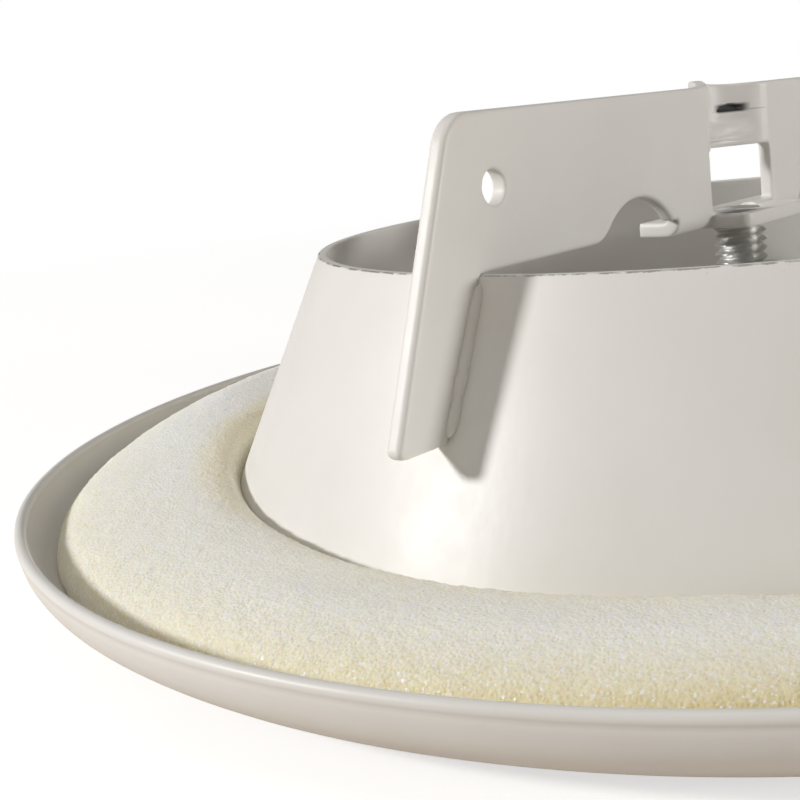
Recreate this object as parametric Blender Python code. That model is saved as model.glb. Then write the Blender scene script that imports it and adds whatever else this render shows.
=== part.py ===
"""Disc valve (ceiling air valve) for a 125 mm duct, in powder-coated sheet steel.

It stands on its room-side face, with the duct side up. Units in this script are millimetres; MM turns
them into Blender's metres. The origin is the centre of the face plane, +Z runs into the duct and the
bridge bar lies along X. "Near" is -Y and "far" is +Y.
"""

from math import atan2, cos, hypot, pi, radians, sin, sqrt, tan

import bmesh
import bpy

MM = 0.001
GAP = 0.3  # left between touching pieces

# Driving dimensions
FLANGE_R = 82.5  # a 165 mm face for a 125 mm duct
RING_H = 30.4  # face plane to the throat's sheared top edge
THROAT_R = 48.1  # outside, at the top edge
SHEET = 1.0
CONE_SLOPE = 0.488  # the throat widens by this much for each mm down
BAR_T = 1.6
BAR_RISE = 14.0  # bar's top edge above the throat's top edge
DISC_R = 54.0
SPINDLE_R = 3.0  # M6

# Ring profile
FLARE_R = 5.0  # throat to face, on the duct side
FACE_R = 71.0  # where the flat face ends and the dish wall begins
DISH_WALL_R = 14.0
DISH_WALL_TURN = radians(45)
RIM_H = 8.5
RING_SEGMENTS = 64

# Foam gasket
FOAM_OUTER_R = 78.0
FOAM_OUTER_H = 6.3
FOAM_CREST_IN_R = 66.5
FOAM_CREST_OUT_R = 70.0
FOAM_CREST_H = 9.5
FOAM_INNER_H = 6.0
FOAM_SHOULDER = 3.0  # width of the crest's rounded shoulders
FOAM_WALL_TURN = radians(30)  # how far the foam follows the dish wall

# Bridge bar: x from the centre, heights from the throat's top edge
LEG_SLANT = 0.393
LEG_TOP_X = 50.1
LEG_DROP = 13.6
LEG_CORNER_R = 3.8
LEG_TOE_R = 1.2
NOTCH_X = 21.7
NOTCH_Z = -3.8
NOTCH_R = 7.5
NOTCH_LIP_R = 1.6
END_HOLE_X = 44.9
END_HOLE_Z = 7.3
END_HOLE_R = 1.6
WINDOW_W = 14.1
WINDOW_LOW = 0.5
WINDOW_HIGH = 6.95
STRAP_SPLIT = 11.0  # between the lower and the upper strap
STRAP_BULGE = 4.4
STRAP_LIFT = 0.7  # how far pressing raises the upper strap's edges
FOOT_HALF = 14.4
FOOT_LOW = -1.4
FOOT_BEND_R = 2.0
FOOT_DEPTH = 4.5
TONGUE_DEPTH = 5.1
TONGUE_CORNER_R = 1.2

# Disc, hub and fasteners
DISC_DISH = 4.6
DISC_EDGE_H = 1.6
DISC_CENTRE_LOW = 0.5
DISC_FLAT_R = 20.0
DISC_EDGE_RISE = 1.0  # the upturned edge above the dish's own rim
HUB_CROWN_R = 12.0
HUB_BRIM_R = 18.0  # less than DISC_FLAT_R
HUB_TOP = 4.7
HEAD_R = 7.0
HEAD_T = 1.6
HUB_WASHER_R = 6.0
HUB_WASHER_T = 0.8
THIN_NUT_T = 3.2
NUT_FLATS = 10.0
LOCK_WASHER_R = 5.6
LOCK_WASHER_T = 1.6
LOCK_WASHER_TOP = RING_H - 6.7
WELD_R = 0.7
WELD_LOW = -12.6
WELD_HIGH = -1.2

FINISHES = {  # base colour, roughness, metallic
    "powder_coat": ((0.80, 0.79, 0.76, 1), 0.42, 0.0),
    "foam": ((0.86, 0.83, 0.66, 1), 0.95, 0.0),
    "zinc": ((0.62, 0.63, 0.64, 1), 0.32, 1.0),
}


def material(slot):
    found = bpy.data.materials.get(slot)
    if found:
        return found
    colour, roughness, metallic = FINISHES[slot]
    made = bpy.data.materials.new(slot)
    made.use_nodes = True
    shader = made.node_tree.nodes["Principled BSDF"]
    shader.inputs["Base Color"].default_value = colour
    shader.inputs["Roughness"].default_value = roughness
    shader.inputs["Metallic"].default_value = metallic
    return made


def add_object(name, bm, slot="powder_coat", smooth_deg=30):
    bmesh.ops.recalc_face_normals(bm, faces=bm.faces)
    mesh = bpy.data.meshes.new(name)
    bm.to_mesh(mesh)
    bm.free()
    mesh.shade_smooth()
    mesh.set_sharp_from_angle(angle=radians(smooth_deg))
    mesh.materials.append(material(slot))
    made = bpy.data.objects.new(name, mesh)
    bpy.context.scene.collection.objects.link(made)
    return made


def arc(centre, radius, start, end, steps):
    """Points from start to end (radians), both included."""
    turns = [start + (end - start) * i / steps for i in range(steps + 1)]
    return [(centre[0] + radius * cos(a), centre[1] + radius * sin(a)) for a in turns]


def turned(name, profile, slot="powder_coat", segments=RING_SEGMENTS):
    """A solid of revolution about Z from a closed loop of (radius, height)."""
    bm = bmesh.new()
    rings = []
    for radius, height in profile:
        if radius < 1e-6:
            rings.append([bm.verts.new((0, 0, height * MM))] * segments)
            continue
        turns = [2 * pi * i / segments for i in range(segments)]
        rings.append(
            [bm.verts.new((radius * cos(a) * MM, radius * sin(a) * MM, height * MM)) for a in turns]
        )
    for ring, other in zip(rings, rings[1:] + rings[:1]):
        for i in range(segments):
            j = (i + 1) % segments
            corners = list(dict.fromkeys((ring[i], ring[j], other[j], other[i])))
            if len(corners) > 2:
                bm.faces.new(corners)
    return add_object(name, bm, slot)


def extruded(name, outline, low, high, place, slot="powder_coat"):
    """A closed outline swept from low to high; place(u, v, w) gives the point in millimetres."""
    bm = bmesh.new()
    ends = [
        [bm.verts.new([c * MM for c in place(u, v, w)]) for u, v in outline] for w in (low, high)
    ]
    for loop in ends:
        bm.faces.new(loop)
    for i in range(len(outline)):
        j = (i + 1) % len(outline)
        bm.faces.new((ends[0][i], ends[0][j], ends[1][j], ends[1][i]))
    return add_object(name, bm, slot)


def upright(x, z, y):
    """Outlines drawn as (x, height above the throat's top edge), swept across the bar."""
    return x, y, RING_H + z


def lengthways(y, z, x):
    return x, y, RING_H + z


def level(x, y, z):
    return x, y, z


def combine(target, other, operation):
    """Add a Boolean whose operand stays in the file as a hidden guide."""
    other.hide_render = True
    other.display_type = "WIRE"
    step = target.modifiers.new(other.name, "BOOLEAN")
    step.operation = operation
    step.solver = "EXACT"
    step.object = other


def cylinder_guide(name, radius, low, high, place, centre, segments=32):
    outline = arc(centre, radius, 0, 2 * pi * (segments - 1) / segments, segments - 1)
    return extruded(name, outline, low, high, place)


def box_guide(name, low, high):
    outline = [(low[0], low[1]), (high[0], low[1]), (high[0], high[1]), (low[0], high[1])]
    return extruded(name, outline, low[2], high[2], level)


def throat_radius(drop):
    """Outside radius of the throat this far below its top edge."""
    return THROAT_R + CONE_SLOPE * drop


def ring_outer_side():
    """Duct side of the ring, from the throat's top edge to the rim."""
    lean = atan2(CONE_SLOPE, 1)
    turn = pi / 2 - lean
    back = FLARE_R * tan(turn / 2)
    floor_drop = RING_H - SHEET
    corner = throat_radius(floor_drop)
    flare_centre = (corner + back, SHEET + FLARE_R)
    flare = arc(flare_centre, FLARE_R, pi + lean, 1.5 * pi, 6)
    wall_centre = (FACE_R, DISH_WALL_R)
    wall = arc(wall_centre, DISH_WALL_R - SHEET, -pi / 2, -pi / 2 + DISH_WALL_TURN, 6)
    lip_r, lip_centre = rim_lip()
    lip = arc(lip_centre, lip_r - SHEET, -pi / 2 + DISH_WALL_TURN, 0, 4)
    return [(THROAT_R, RING_H)] + flare + wall + lip[1:] + [(FLANGE_R - SHEET, RIM_H)]


def rim_lip():
    """Radius and centre of the tighter bend between the dish wall and the rim."""
    end_r = FACE_R + DISH_WALL_R * sin(DISH_WALL_TURN)
    end_z = DISH_WALL_R * (1 - cos(DISH_WALL_TURN))
    radius = (FLANGE_R - end_r) / (1 - sin(DISH_WALL_TURN))
    centre = (
        end_r - radius * sin(DISH_WALL_TURN),
        end_z + radius * cos(DISH_WALL_TURN),
    )
    return radius, centre


def ring_room_side():
    """Room side of the ring, from the rim back to the throat's top edge."""
    lean = atan2(CONE_SLOPE, 1)
    back = FLARE_R * tan((pi / 2 - lean) / 2)
    flare_centre = (throat_radius(RING_H - SHEET) + back, SHEET + FLARE_R)
    flare = arc(flare_centre, FLARE_R + SHEET, 1.5 * pi, pi + lean, 6)
    wall = arc((FACE_R, DISH_WALL_R), DISH_WALL_R, -pi / 2 + DISH_WALL_TURN, -pi / 2, 6)
    lip_r, lip_centre = rim_lip()
    lip = arc(lip_centre, lip_r, 0, -pi / 2 + DISH_WALL_TURN, 4)
    inner_top = THROAT_R - SHEET * sqrt(1 + CONE_SLOPE**2)
    return [(FLANGE_R, RIM_H)] + lip + wall[1:] + flare + [(inner_top, RING_H)]


def make_valve_ring():
    return turned("valve_ring", ring_outer_side() + ring_room_side())


def make_foam_gasket():
    """Lies in the dish against the throat and stands above the rim, so that the ceiling squeezes it."""
    gap_floor = SHEET + GAP
    lean = GAP * sqrt(1 + CONE_SLOPE**2)
    flare = FLARE_R - GAP
    back = FLARE_R * tan((pi / 2 - atan2(CONE_SLOPE, 1)) / 2)
    centre = (throat_radius(RING_H - SHEET) + back, SHEET + FLARE_R)
    inner = arc(centre, flare, pi + atan2(CONE_SLOPE, 1), 1.5 * pi, 4)
    wall_radius = DISH_WALL_R - gap_floor
    outer = arc((FACE_R, DISH_WALL_R), wall_radius, -pi / 2, -pi / 2 + FOAM_WALL_TURN, 4)
    top = [
        (FOAM_OUTER_R - 0.8, FOAM_OUTER_H - 1.6),
        (FOAM_OUTER_R - 1.0, FOAM_OUTER_H - 0.4),
        (FOAM_OUTER_R - 2.4, FOAM_OUTER_H + 0.6),
        (FOAM_CREST_OUT_R + FOAM_SHOULDER, FOAM_CREST_H - 0.8),
        (FOAM_CREST_OUT_R, FOAM_CREST_H),
        (FOAM_CREST_IN_R, FOAM_CREST_H),
        (FOAM_CREST_IN_R - FOAM_SHOULDER, FOAM_CREST_H - 1.2),
        (throat_radius(RING_H - FOAM_INNER_H) + lean + 0.2, FOAM_INNER_H),
    ]
    return turned("foam_gasket", inner + outer[1:] + top, "foam")


def half_outline():
    """Left half of the bar, from the strap window round the leg to the foot flange, as (x, z)."""
    corner_turn = pi / 2 - atan2(LEG_SLANT, 1)
    reach = LEG_CORNER_R * tan(corner_turn / 2)
    corner = (-(LEG_TOP_X - reach), BAR_RISE - LEG_CORNER_R)
    top = arc(corner, LEG_CORNER_R, pi / 2, pi / 2 + corner_turn, 5)
    toe_out = -(LEG_TOP_X + LEG_SLANT * (BAR_RISE + LEG_DROP))
    toe_in = -(throat_radius(LEG_DROP) + GAP * sqrt(1 + CONE_SLOPE**2))
    toe = [(toe_out + LEG_SLANT * LEG_TOE_R, -LEG_DROP + LEG_TOE_R), (toe_out + LEG_TOE_R, -LEG_DROP)]
    shoulder = -(THROAT_R + GAP * sqrt(1 + CONE_SLOPE**2))
    rise = (GAP - NOTCH_Z) / NOTCH_R
    notch_end = pi - atan2(rise, sqrt(1 - rise**2))
    foot_z = FOOT_BEND_R + FOOT_LOW
    foot_turn = (foot_z - NOTCH_Z) / NOTCH_R
    notch_start = atan2(foot_turn, sqrt(1 - foot_turn**2))
    notch = arc((-NOTCH_X, NOTCH_Z), NOTCH_R, notch_end - radians(12), notch_start, 12)
    lip = (-NOTCH_X + NOTCH_R * cos(notch_end) - NOTCH_LIP_R, GAP)
    left = [(-WINDOW_W / 2, BAR_RISE)] + top + toe
    left += [(toe_in, -LEG_DROP), (shoulder, 0), (shoulder, GAP), lip]
    left += notch
    return left + [(-WINDOW_W / 2, foot_z)]


def make_strap(name, low, high, lift_low, lift_high):
    """A strap pressed to the far side of the bar, round the spindle; its ends bury in the bar."""
    thickness = BAR_T - 0.1
    half = WINDOW_W / 2
    bury = 0.6  # into the bar at each end
    xs = [-half - bury] + [half * (i / 10 - 1) for i in range(21)] + [half + bury]
    bm = bmesh.new()
    rows = []
    for x in xs:
        share = max(0.0, 1 - (x / half) ** 2)
        y = STRAP_BULGE * share**1.5
        slope = -3 * STRAP_BULGE * x / half**2 * sqrt(share)
        length = hypot(1, slope)
        across = (-slope / length, 1 / length)
        rise = (lift_low * share, lift_high * share)
        row = []
        for side, z in ((-1, low + rise[0]), (1, low + rise[0]), (1, high + rise[1]), (-1, high + rise[1])):
            off = side * thickness / 2
            place = upright(x + across[0] * off, z, y + across[1] * off)
            row.append(bm.verts.new([c * MM for c in place]))
        rows.append(row)
    for row, other in zip(rows, rows[1:]):
        for i in range(4):
            j = (i + 1) % 4
            bm.faces.new((row[i], row[j], other[j], other[i]))
    bm.faces.new(rows[0])
    bm.faces.new(rows[-1])
    return add_object(name, bm)


def make_foot_flange():
    """Lower edge of the bar's middle, bent to the far side; it carries the spindle's thread."""
    top = FOOT_LOW + BAR_T
    centre = (FOOT_BEND_R - BAR_T / 2, FOOT_LOW + FOOT_BEND_R)
    web_top = centre[1] + 0.8
    outline = [(-BAR_T / 2, web_top)]
    outline += arc(centre, FOOT_BEND_R, pi, 1.5 * pi, 5)
    outline += [(FOOT_DEPTH, FOOT_LOW), (FOOT_DEPTH, top)]
    outline += arc(centre, FOOT_BEND_R - BAR_T, 1.5 * pi, pi, 3)
    outline += [(BAR_T / 2, web_top)]
    return extruded("foot_flange_guide", outline, -FOOT_HALF, FOOT_HALF, lengthways)


def make_tongue():
    """Cut from the window and folded to the near side, level with the foot flange."""
    half = WINDOW_W / 2 - 0.05
    r = TONGUE_CORNER_R
    outline = [(half, 0.9), (-half, 0.9)]
    outline += arc((-half + r, -TONGUE_DEPTH + r), r, pi, 1.5 * pi, 4)
    outline += arc((half - r, -TONGUE_DEPTH + r), r, 1.5 * pi, 2 * pi, 4)
    low = RING_H + FOOT_LOW + 0.02
    return extruded("tongue_guide", outline, low, low + BAR_T - 0.04, level)


def make_bridge_bar():
    left = half_outline()
    right = [(-x, z) for x, z in reversed(left)]
    halves = []
    for name, outline in (("bridge_bar", left), ("bar_right_guide", right)):
        halves.append(extruded(name, outline, -BAR_T / 2, BAR_T / 2, upright))
    bar, other = halves
    combine(bar, make_foot_flange(), "UNION")
    combine(bar, other, "UNION")
    lower = make_strap("lower_strap_guide", WINDOW_HIGH, STRAP_SPLIT - 0.15, 0.5, 0.0)
    upper = make_strap("upper_strap_guide", STRAP_SPLIT + 0.15, BAR_RISE - 0.03, STRAP_LIFT, STRAP_LIFT)
    combine(bar, lower, "UNION")
    combine(bar, upper, "UNION")
    combine(bar, make_tongue(), "UNION")
    window_low = (-WINDOW_W / 2 + 0.02, -1.5, RING_H + WINDOW_LOW)
    window_high = (WINDOW_W / 2 - 0.02, 1.5, RING_H + WINDOW_HIGH - 1.0)
    combine(bar, box_guide("window_guide", window_low, window_high), "DIFFERENCE")
    hole = cylinder_guide(
        "thread_guide", SPINDLE_R + GAP, RING_H - 4, RING_H + WINDOW_LOW + 1, level, (0, 0), 24
    )
    combine(bar, hole, "DIFFERENCE")
    for side, x in (("left", -END_HOLE_X), ("right", END_HOLE_X)):
        end_hole = cylinder_guide(f"{side}_hole_guide", END_HOLE_R, -3, 3, upright, (x, END_HOLE_Z), 20)
        combine(bar, end_hole, "DIFFERENCE")
    return bar


def make_welds():
    """Beads in the corners between the legs' faces and the throat."""
    stand_off = GAP + WELD_R
    for end, along in (("left", -1), ("right", 1)):
        for side, across in (("near", -1), ("far", 1)):
            curve = bpy.data.curves.new(f"weld_{end}_{side}", "CURVE")
            curve.dimensions = "3D"
            curve.bevel_depth = WELD_R * MM
            curve.bevel_resolution = 1
            curve.use_fill_caps = True
            path = curve.splines.new("POLY")
            path.points.add(1)
            y = across * (BAR_T / 2 + stand_off)
            for point, z in zip(path.points, (WELD_LOW, WELD_HIGH)):
                r = throat_radius(-z) + stand_off * sqrt(1 + CONE_SLOPE**2)
                x = along * sqrt(r**2 - y**2)
                point.co = (x * MM, y * MM, (RING_H + z) * MM, 1)
            curve.materials.append(material("powder_coat"))
            bead = bpy.data.objects.new(curve.name, curve)
            bpy.context.scene.collection.objects.link(bead)


def make_valve_disc():
    """A shallow dish, hollow towards the duct, with an upturned edge; it stays above the face plane."""
    edge_low = DISC_CENTRE_LOW + DISC_DISH - DISC_EDGE_H
    run = DISC_R - 1.5 - DISC_FLAT_R
    steps = 8
    under = [(0, DISC_CENTRE_LOW)]
    over = [(0, DISC_CENTRE_LOW + SHEET)]
    for i in range(steps + 1):
        share = i / steps
        r = DISC_FLAT_R + run * share
        z = DISC_CENTRE_LOW + (edge_low - DISC_CENTRE_LOW) * share**1.6
        under.append((r, z))
        over.append((r, z + SHEET))
    over[-1] = (DISC_R - SHEET - 0.4, edge_low + SHEET + 0.2)
    edge = [
        (DISC_R - 0.45, edge_low + 0.4),
        (DISC_R, edge_low + 1.2),
        (DISC_R, edge_low + DISC_EDGE_H + DISC_EDGE_RISE),
        (DISC_R - SHEET, edge_low + DISC_EDGE_H + DISC_EDGE_RISE),
    ]
    return turned("valve_disc", under + edge + over[::-1], segments=RING_SEGMENTS)


def make_disc_hub():
    """A low hat whose brim lies on the disc's flat middle."""
    brim_z = DISC_CENTRE_LOW + SHEET + GAP
    bore = SPINDLE_R + GAP
    profile = [
        (bore, HUB_TOP),
        (HUB_CROWN_R - 0.8, HUB_TOP),
        (HUB_CROWN_R, HUB_TOP - 0.8),
        (HUB_CROWN_R + 0.6, brim_z + SHEET),
        (HUB_BRIM_R, brim_z + SHEET),
        (HUB_BRIM_R, brim_z),
        (HUB_CROWN_R - 0.5, brim_z),
        (HUB_CROWN_R - SHEET - 0.1, HUB_TOP - SHEET),
        (bore, HUB_TOP - SHEET),
    ]
    return turned("disc_hub", profile, "zinc", 48)


def make_spindle():
    """M6 spindle; its low head sits inside the hub and its tip is level with the bridge's thread."""
    head_top = HUB_TOP - SHEET - GAP
    tip = RING_H + FOOT_LOW + BAR_T
    profile = [
        (0, head_top - HEAD_T),
        (HEAD_R - 0.4, head_top - HEAD_T),
        (HEAD_R, head_top - HEAD_T + 0.4),
        (HEAD_R, head_top),
        (SPINDLE_R, head_top),
        (SPINDLE_R, tip - 0.7),
        (SPINDLE_R - 0.7, tip),
        (0, tip),
    ]
    return turned("spindle", profile, "zinc", 32)


def make_nut(name, low):
    across_corners = NUT_FLATS / 2 / cos(pi / 6)
    outline = arc((0, 0), across_corners, 0, 2 * pi * 5 / 6, 5)
    nut = extruded(name, outline, low, low + THIN_NUT_T, level, "zinc")
    bore = cylinder_guide(
        f"{name}_bore_guide", SPINDLE_R + GAP, low - 1, low + THIN_NUT_T + 1, level, (0, 0), 24
    )
    combine(nut, bore, "DIFFERENCE")
    return nut


def make_washer(name, low, thickness, radius):
    """A plain flat ring."""
    bore = SPINDLE_R + GAP
    high = low + thickness
    profile = [(bore, low), (radius, low), (radius, high), (bore, high)]
    return turned(name, profile, "zinc", 32)


def make_fasteners():
    hub_washer_low = HUB_TOP + GAP
    make_washer("hub_washer", hub_washer_low, HUB_WASHER_T, HUB_WASHER_R)
    make_nut("hub_nut", hub_washer_low + HUB_WASHER_T + GAP)
    lock_washer_low = LOCK_WASHER_TOP - LOCK_WASHER_T
    washer = make_washer("lock_washer", lock_washer_low, LOCK_WASHER_T, LOCK_WASHER_R)
    split_low = (SPINDLE_R - 0.5, -0.5, lock_washer_low - 1)
    split_high = (LOCK_WASHER_R + 1, 0.5, LOCK_WASHER_TOP + 1)
    combine(washer, box_guide("washer_split_guide", split_low, split_high), "DIFFERENCE")
    make_nut("lock_nut", lock_washer_low - GAP - THIN_NUT_T)


def main():
    for old in list(bpy.data.objects):
        bpy.data.objects.remove(old)
    make_valve_ring()
    make_foam_gasket()
    make_bridge_bar()
    make_welds()
    make_valve_disc()
    make_disc_hub()
    make_spindle()
    make_fasteners()


main()
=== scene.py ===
"""Looks of a ceiling disc valve for a 125 mm duct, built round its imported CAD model.

Lengths are in millimetres until finish_piece() scales them; names that end in _M are metres. Heights
"above the throat" count from the throat's top edge at RING_H. Near is -Y, far is +Y.
"""

from math import atan2, cos, exp, pi, radians, sin, sqrt, tan

import bmesh
import bpy
import numpy as np
from mathutils import Matrix, Vector, noise


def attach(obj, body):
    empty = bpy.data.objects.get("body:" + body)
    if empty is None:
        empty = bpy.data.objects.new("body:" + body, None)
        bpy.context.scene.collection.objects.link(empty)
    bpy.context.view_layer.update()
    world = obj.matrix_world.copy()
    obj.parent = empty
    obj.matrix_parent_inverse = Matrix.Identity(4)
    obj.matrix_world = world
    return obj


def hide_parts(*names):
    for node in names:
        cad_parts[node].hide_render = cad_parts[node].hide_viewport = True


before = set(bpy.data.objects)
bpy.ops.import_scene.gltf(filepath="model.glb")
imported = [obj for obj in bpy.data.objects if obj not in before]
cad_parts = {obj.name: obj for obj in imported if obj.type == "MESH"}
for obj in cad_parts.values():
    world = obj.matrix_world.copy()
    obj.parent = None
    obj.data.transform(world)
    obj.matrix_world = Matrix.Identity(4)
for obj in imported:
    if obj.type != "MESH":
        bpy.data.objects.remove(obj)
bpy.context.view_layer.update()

MM = 0.001
SEED = 7

# Sizes shared with the CAD
FLANGE_R = 82.5
RING_H = 30.4
THROAT_R = 48.1
SHEET = 1.0
CONE_SLOPE = 0.488
FLARE_R = 5.0
FACE_R = 71.0
DISH_WALL_R = 14.0
DISH_TURN = radians(45)
RIM_H = 8.5
BAR_T = 1.6
BAR_RISE = 14.0
LEG_SLANT = 0.393
LEG_TOP_X = 50.1
LEG_DROP = 13.6
LEG_CORNER_R = 3.8
LEG_TOE_R = 1.2
NOTCH_X, NOTCH_Z, NOTCH_R, NOTCH_LIP_R = 21.7, -3.8, 7.5, 1.6
END_HOLE_X, END_HOLE_Z, END_HOLE_R = 44.9, 7.3, 1.6
WINDOW_W, WINDOW_LOW, WINDOW_HIGH = 14.1, 0.5, 6.95
STRAP_SPLIT = 11.0
FOOT_HALF, FOOT_LOW, FOOT_BEND_R, FOOT_DEPTH = 14.4, -1.4, 2.0, 4.5
TONGUE_DEPTH, TONGUE_CORNER_R = 5.1, 1.2
SPINDLE_R = 3.0
THREAD_PITCH, THREAD_DEPTH = 1.0, 0.5
DISC_R, DISC_FLAT_R = 54.0, 20.0
DISC_LOW, DISC_EDGE_LOW, DISC_EDGE_TOP = 0.5, 3.5, 6.1
HUB_CROWN_R, HUB_BRIM_R, HUB_TOP = 12.0, 18.0, 4.7
HEAD_R, HEAD_T = 7.0, 1.6
NUT_FLATS, NUT_T = 10.0, 3.2
HUB_NUT_LOW = HUB_TOP + 1.4
LOCK_WASHER_DROP = 6.7  # from the throat's top edge down to the washer
LOCK_NUT_LOW = RING_H - LOCK_WASHER_DROP - 1.6 - 0.3 - NUT_T

RING_SEGMENTS = 288
LEAN = atan2(CONE_SLOPE, 1)
LEG_LEAN = atan2(LEG_SLANT, 1)


# ---------------------------------------------------------------- meshes


def mesh_object(name, points, faces):
    """A mesh in millimetres, for more work before it becomes a piece."""
    mesh = bpy.data.meshes.new(name)
    mesh.from_pydata([tuple(p) for p in points], [], faces)
    mesh.update()
    made = bpy.data.objects.new(name, mesh)
    bpy.context.scene.collection.objects.link(made)
    return made


def finish_piece(obj, body, nodes, material, sharp_deg=None):
    """Scales a millimetre mesh to metres and makes it stand for its CAD nodes."""
    obj.data.transform(Matrix.Scale(MM, 4))
    obj.data.shade_smooth()
    if sharp_deg is not None:
        obj.data.set_sharp_from_angle(angle=radians(sharp_deg))
    obj.data.materials.clear()
    obj.data.materials.append(material)
    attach(obj, body)
    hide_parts(*nodes)
    return obj


def applied(obj):
    """Turns an object's modifiers into its mesh."""
    bpy.context.view_layer.update()
    depsgraph = bpy.context.evaluated_depsgraph_get()
    mesh = bpy.data.meshes.new_from_object(obj.evaluated_get(depsgraph))
    obj.modifiers.clear()
    obj.data = mesh
    return obj


def grid_faces(rows, columns, close_rows, close_columns):
    """Quads of a grid whose points are stored row by row."""
    faces = []
    for i in range(rows if close_rows else rows - 1):
        below, above = i * columns, (i + 1) % rows * columns
        for j in range(columns if close_columns else columns - 1):
            k = (j + 1) % columns
            faces.append((below + j, below + k, above + k, above + j))
    return faces


def tube_faces(rows, columns):
    """Faces of a tube whose points are stored as closed rows, with a cap at each end."""
    last = (rows - 1) * columns
    caps = [tuple(range(columns)), tuple(last + i for i in range(columns - 1, -1, -1))]
    return caps + grid_faces(rows, columns, False, True)


def closed_mesh(name, points, faces):
    """A closed mesh in millimetres with every face turned outwards."""
    made = mesh_object(name, points, faces)
    bm = bmesh.new()
    bm.from_mesh(made.data)
    bmesh.ops.recalc_face_normals(bm, faces=bm.faces)
    bm.to_mesh(made.data)
    bm.free()
    return made


def lathe(name, profile, segments=RING_SEGMENTS, warp=None):
    """Turns a loop of (radius, height) about Z; radius 0 at both ends makes a solid plug."""
    solid = profile[0][0] < 1e-6 and profile[-1][0] < 1e-6
    inner = profile[1:-1] if solid else profile
    turns = np.linspace(0, 2 * pi, segments, endpoint=False)
    radius, height = np.array(inner, float).T[:, :, None]
    points = np.stack(
        [radius * np.cos(turns), radius * np.sin(turns), height + 0 * turns], axis=-1
    ).reshape(-1, 3)
    if warp:
        points = warp(points)
    points = [tuple(p) for p in points]
    faces = grid_faces(len(inner), segments, not solid, True)
    if solid:
        first, last = len(points), len(points) + 1
        points += [(0, 0, profile[0][1]), (0, 0, profile[-1][1])]
        top = (len(inner) - 1) * segments
        for j in range(segments):
            k = (j + 1) % segments
            faces.append((first, k, j))
            faces.append((last, top + j, top + k))
    return closed_mesh(name, points, faces)


def arc(centre, radius, start, end, steps):
    """Points of an arc between two directions in radians, both ends included."""
    turns = [start + (end - start) * i / steps for i in range(steps + 1)]
    return [(centre[0] + radius * cos(a), centre[1] + radius * sin(a)) for a in turns]


def rounded(corners, radii, steps=4):
    """A closed (u, v) loop with each corner rounded; radius 0 keeps a corner."""
    out = []
    for i, (corner, radius) in enumerate(zip(corners, radii)):
        here = Vector(corner)
        before = (Vector(corners[i - 1]) - here).normalized()
        after = (Vector(corners[(i + 1) % len(corners)]) - here).normalized()
        opening = before.angle(after, pi)
        if radius <= 0 or opening > pi - 0.01:
            out.append(tuple(here))
            continue
        reach = radius / tan(opening / 2)
        centre = here + (before + after).normalized() * (radius / sin(opening / 2))
        start, end = here + before * reach - centre, here + after * reach - centre
        turn = start.angle_signed(end, 0.0)
        for k in range(steps + 1):
            point = start.copy()
            point.rotate(Matrix.Rotation(-turn * k / steps, 2))
            out.append(tuple(centre + point))
    return out


def throat_radius(drop):
    """Outer radius of the cone, drop below the throat's top edge."""
    return THROAT_R + CONE_SLOPE * drop


def flare_centre():
    """Centre of the bend from the cone into the face, as (radius, height)."""
    back = FLARE_R * tan((pi / 2 - LEAN) / 2)
    return throat_radius(RING_H - SHEET) + back, SHEET + FLARE_R


# ---------------------------------------------------------------- ring

LIP_R = 0.58  # the rim's painted edge is a small bead
LIP_UNDERCUT = 0.10
EDGE_R = 0.16  # rounding of the throat's sheared edge
RIM_END_DUCT, RIM_END_ROOM = 0.12, 0.10  # the rim's sheet stops this far short of upright, in the bead


def rim_bend(edge_r):
    """Radius and centre of the bend from the dish wall to an upright rim at edge_r."""
    end_r = FACE_R + DISH_WALL_R * sin(DISH_TURN)
    end_z = DISH_WALL_R * (1 - cos(DISH_TURN))
    radius = (edge_r - end_r) / (1 - sin(DISH_TURN))
    return radius, (end_r - radius * sin(DISH_TURN), end_z + radius * cos(DISH_TURN))


def ring_profile():
    wall_centre = (FACE_R, DISH_WALL_R)
    bend_r, bend_centre = rim_bend(FLANGE_R - LIP_UNDERCUT)
    across = SHEET * sqrt(1 + CONE_SLOPE**2)
    inner_top = THROAT_R - across
    top = rounded(
        [(inner_top + CONE_SLOPE, RING_H - 1), (inner_top, RING_H), (THROAT_R, RING_H),
         (THROAT_R + CONE_SLOPE, RING_H - 1)],
        [0, EDGE_R, EDGE_R, 0],
    )
    cone = [(throat_radius(d), RING_H - d) for d in np.linspace(2, 22, 11)]
    lip = arc((FLANGE_R - LIP_R, RIM_H - LIP_R), LIP_R, 1.15 * pi, -0.25 * pi, 14)
    duct_side = (
        cone
        + arc(flare_centre(), FLARE_R, pi + LEAN, 1.5 * pi, 12)
        + arc(wall_centre, DISH_WALL_R - SHEET, -pi / 2, -pi / 2 + DISH_TURN, 14)
        + arc(bend_centre, bend_r - SHEET, -pi / 2 + DISH_TURN, -RIM_END_DUCT, 8)[1:]
    )
    room_side = (
        arc(bend_centre, bend_r, -RIM_END_ROOM, -pi / 2 + DISH_TURN, 8)
        + arc(wall_centre, DISH_WALL_R, -pi / 2 + DISH_TURN, -pi / 2, 14)[1:]
        + arc(flare_centre(), FLARE_R + SHEET, 1.5 * pi, pi + LEAN, 12)
        + [(r - across, z) for r, z in cone[::-1]]
    )
    return top + duct_side + lip + room_side


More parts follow.
